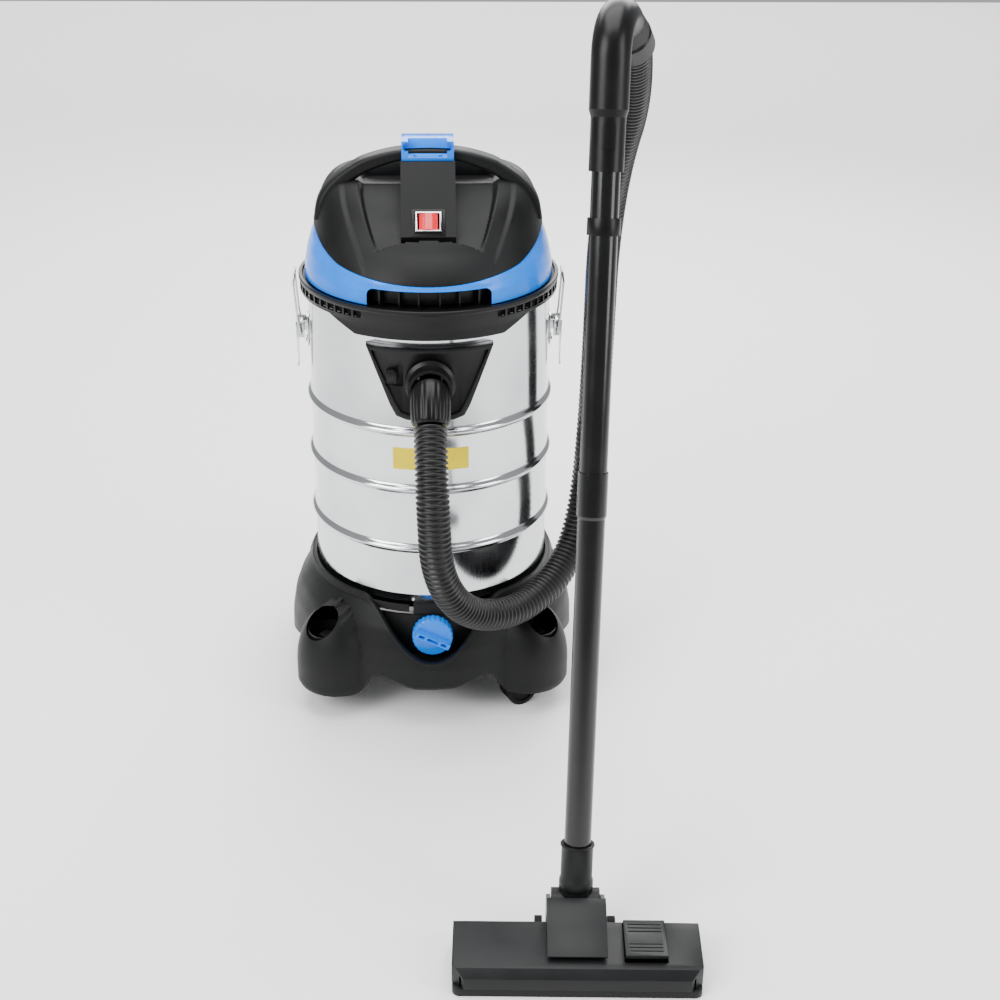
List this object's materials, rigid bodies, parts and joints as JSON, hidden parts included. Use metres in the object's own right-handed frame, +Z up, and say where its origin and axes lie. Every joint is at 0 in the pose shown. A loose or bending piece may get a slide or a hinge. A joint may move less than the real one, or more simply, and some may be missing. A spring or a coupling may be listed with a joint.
{
  "type": "shop vacuum",
  "caption": "Wet and dry shop vacuum: polished steel drum on a castered moulded base, latched motor head with carry handle, ribbed hose, two-piece wand and wide floor head.",
  "frame": {"origin": "on the floor, at the centre of the box around the machine, wand and floor head; the drum's axis stands at x -0.0494 m, y 0.2873 m", "axes": "+Z up along the drum's axis, the machine's front and the floor head towards -Y, +X to the machine's right as seen from its front"},
  "size_m": [0.5231, 0.9988, 1.0572],
  "materials": {
    "stainless": "bright polished stainless sheet",
    "black_plastic": "fine-textured black moulding",
    "grey_plastic": "satin dark grey moulding",
    "blue_plastic": "gloss blue moulding",
    "label_film": "printed yellow film",
    "latch_steel": "bright stamped steel",
    "zinc_screw": "plated steel",
    "rubber": "black rubber",
    "red_rocker": "translucent red switch cap",
    "chrome_trim": "plated trim",
    "black_tube": "gloss black powder coat on steel tube",
    "hose_plastic": "ribbed black hose",
    "motor_steel": "laminated steel and windings",
    "fan_alloy": "pressed aluminium",
    "filter_cloth": "pleated filter cloth",
    "bristle": "black bristle"
  },
  "bodies": {
    "root": {"base": "black_plastic", "drum": "stainless", "drum_label": "label_film", "caster_bushes": "zinc_screw", "drain_housing": "black_plastic", "inlet_plate": "black_plastic", "inlet_socket": "grey_plastic", "latch_brackets": "latch_steel", "hose": "hose_plastic", "hose_cuff_inlet": "grey_plastic"},
    "head": {"lid_ring": "black_plastic", "cowl": "blue_plastic", "motor_cover": "black_plastic", "carry_handle": "black_plastic", "handle_bracket": "blue_plastic", "console": "black_plastic", "switch_frame": "black_plastic", "switch_bezel": "chrome_trim", "lid_pan": "black_plastic", "lid_seal": "rubber", "fan_housing": "grey_plastic", "motor_body": "motor_steel", "filter_cage": "black_plastic", "filter_sleeve": "filter_cloth", "blower_port": "black_plastic", "cord_gland": "rubber", "cover_screws": "zinc_screw"},
    "rotor": {"rotor_shaft": "motor_steel", "fan": "fan_alloy"},
    "rocker": {"switch_rocker": "red_rocker"},
    "float": {"float_cup": "black_plastic"},
    "catch": {"inlet_catch": "black_plastic"},
    "cap": {"drain_cap": "blue_plastic", "drain_seal": "rubber"},
    "wand": {"wand_tube_lower": "black_tube", "wand_tube_upper": "black_tube", "swivel_neck": "grey_plastic", "parking_clip": "grey_plastic", "wand_handle": "grey_plastic", "hose_cuff_handle": "grey_plastic"},
    "bleed": {"bleed_slider": "grey_plastic"},
    "knuckle": {"knuckle": "grey_plastic"},
    "floor_head": {"head_shell": "black_plastic", "sole_plate": "grey_plastic", "duct_cover": "black_plastic"},
    "brush": {"brush_strips": "bristle"},
    "pedal": {"brush_pedal": "grey_plastic"},
    "rollers": {"floor_rollers": "rubber"},
    "lever_left": {"latch_lever_left": "latch_steel"},
    "bail_left": {"latch_bail_left": "latch_steel"},
    "lever_right": {"latch_lever_right": "latch_steel"},
    "bail_right": {"latch_bail_right": "latch_steel"},
    "fork_front_left": {"caster_fork_front_left": "black_plastic"},
    "wheels_front_left": {"caster_wheels_front_left": "rubber"},
    "fork_front_right": {"caster_fork_front_right": "black_plastic"},
    "wheels_front_right": {"caster_wheels_front_right": "rubber"},
    "fork_rear_left": {"caster_fork_rear_left": "black_plastic"},
    "wheels_rear_left": {"caster_wheels_rear_left": "rubber"},
    "fork_rear_right": {"caster_fork_rear_right": "black_plastic"},
    "wheels_rear_right": {"caster_wheels_rear_right": "rubber"}
  },
  "joints": [
    {"name": "head_lift", "type": "slide", "parent": "root", "child": "head", "axis": [0, 0, 1], "range_m": [0, 0.3]},
    {"name": "rotor_spin", "type": "hinge", "parent": "head", "child": "rotor", "pos_m": [-0.04944, 0.28728, 0.7], "axis": [0, 0, 1], "continuous": true},
    {"name": "switch_rock", "type": "hinge", "parent": "head", "child": "rocker", "pos_m": [-0.04944, 0.19076, 0.71071], "axis": [0, 0.6313, 0.7756], "range_deg": [-4, 4]},
    {"name": "float_rise", "type": "slide", "parent": "head", "child": "float", "axis": [0, 0, 1], "range_m": [0, 0.034]},
    {"name": "catch_slide", "type": "slide", "parent": "root", "child": "catch", "axis": [1, 0, 0], "range_m": [0, 0.007], "stiffness_N_per_m": 120},
    {"name": "drain_turn", "type": "hinge", "parent": "root", "child": "cap", "pos_m": [-0.04944, 0.11128, 0.134], "axis": [0, -1, 0], "range_deg": [0, 360]},
    {"name": "latch_left_open", "type": "hinge", "parent": "root", "child": "lever_left", "pos_m": [-0.23044, 0.28728, 0.545], "axis": [0, 1, 0], "range_deg": [0, 120]},
    {"name": "bail_left_swing", "type": "hinge", "parent": "lever_left", "child": "bail_left", "pos_m": [-0.23044, 0.28728, 0.532], "axis": [0, 1, 0], "range_deg": [-120, 0]},
    {"name": "latch_right_open", "type": "hinge", "parent": "root", "child": "lever_right", "pos_m": [0.13156, 0.28728, 0.545], "axis": [0, -1, 0], "range_deg": [0, 120]},
    {"name": "bail_right_swing", "type": "hinge", "parent": "lever_right", "child": "bail_right", "pos_m": [0.13156, 0.28728, 0.532], "axis": [0, -1, 0], "range_deg": [-120, 0]},
    {"name": "swivel_front_left", "type": "hinge", "parent": "root", "child": "fork_front_left", "pos_m": [-0.18944, 0.14728, 0], "axis": [0, 0, 1], "continuous": true},
    {"name": "roll_front_left", "type": "hinge", "parent": "fork_front_left", "child": "wheels_front_left", "pos_m": [-0.18944, 0.16328, 0.023], "axis": [-1, 0, 0], "continuous": true},
    {"name": "swivel_front_right", "type": "hinge", "parent": "root", "child": "fork_front_right", "pos_m": [0.09056, 0.14728, 0], "axis": [0, 0, 1], "continuous": true},
    {"name": "roll_front_right", "type": "hinge", "parent": "fork_front_right", "child": "wheels_front_right", "pos_m": [0.07606, 0.14052, 0.023], "axis": [0.4226, -0.9063, 0], "continuous": true},
    {"name": "swivel_rear_left", "type": "hinge", "parent": "root", "child": "fork_rear_left", "pos_m": [-0.18944, 0.42728, 0], "axis": [0, 0, 1], "continuous": true},
    {"name": "roll_rear_left", "type": "hinge", "parent": "fork_rear_left", "child": "wheels_rear_left", "pos_m": [-0.18397, 0.44231, 0.023], "axis": [-0.9397, 0.342, 0], "continuous": true},
    {"name": "swivel_rear_right", "type": "hinge", "parent": "root", "child": "fork_rear_right", "pos_m": [0.09056, 0.42728, 0], "axis": [0, 0, 1], "continuous": true},
    {"name": "roll_rear_right", "type": "hinge", "parent": "fork_rear_right", "child": "wheels_rear_right", "pos_m": [0.08508, 0.44231, 0.023], "axis": [-0.9397, -0.342, 0], "continuous": true},
    {"name": "wand_lift", "type": "slide", "parent": "root", "child": "wand", "axis": [0, 0, 1], "range_m": [0, 0.3]},
    {"name": "bleed_slide", "type": "slide", "parent": "wand", "child": "bleed", "axis": [-0.0316, -0.239, -0.9705], "range_m": [0, 0.014]},
    {"name": "head_swivel", "type": "hinge", "parent": "wand", "child": "knuckle", "pos_m": [0.11726, -0.38132, 0.045], "axis": [0.0316, 0.239, 0.9705], "range_deg": [-60, 60]},
    {"name": "head_tilt", "type": "hinge", "parent": "knuckle", "child": "floor_head", "pos_m": [0.11726, -0.38132, 0.045], "axis": [0.9989, -0.0471, 0], "range_deg": [-8, 50]},
    {"name": "pedal_rock", "type": "hinge", "parent": "floor_head", "child": "pedal", "pos_m": [0.19429, -0.44602, 0.039], "axis": [0.9989, -0.0471, 0], "range_deg": [-4, 0]},
    {"name": "brush_drop", "type": "slide", "parent": "floor_head", "child": "brush", "axis": [0, 0, -1], "range_m": [0, 0.004]},
    {"name": "roller_spin", "type": "hinge", "parent": "floor_head", "child": "rollers", "pos_m": [0.11697, -0.38732, 0.014], "axis": [0.9989, -0.0471, 0], "continuous": true}
  ],
  "couplings": [
    {"joint": "bail_left_swing", "follows": "latch_left_open", "ratio": -1},
    {"joint": "bail_right_swing", "follows": "latch_right_open", "ratio": -1},
    {"joint": "brush_drop", "follows": "pedal_rock", "m_per_rad": -0.057296}
  ]
}
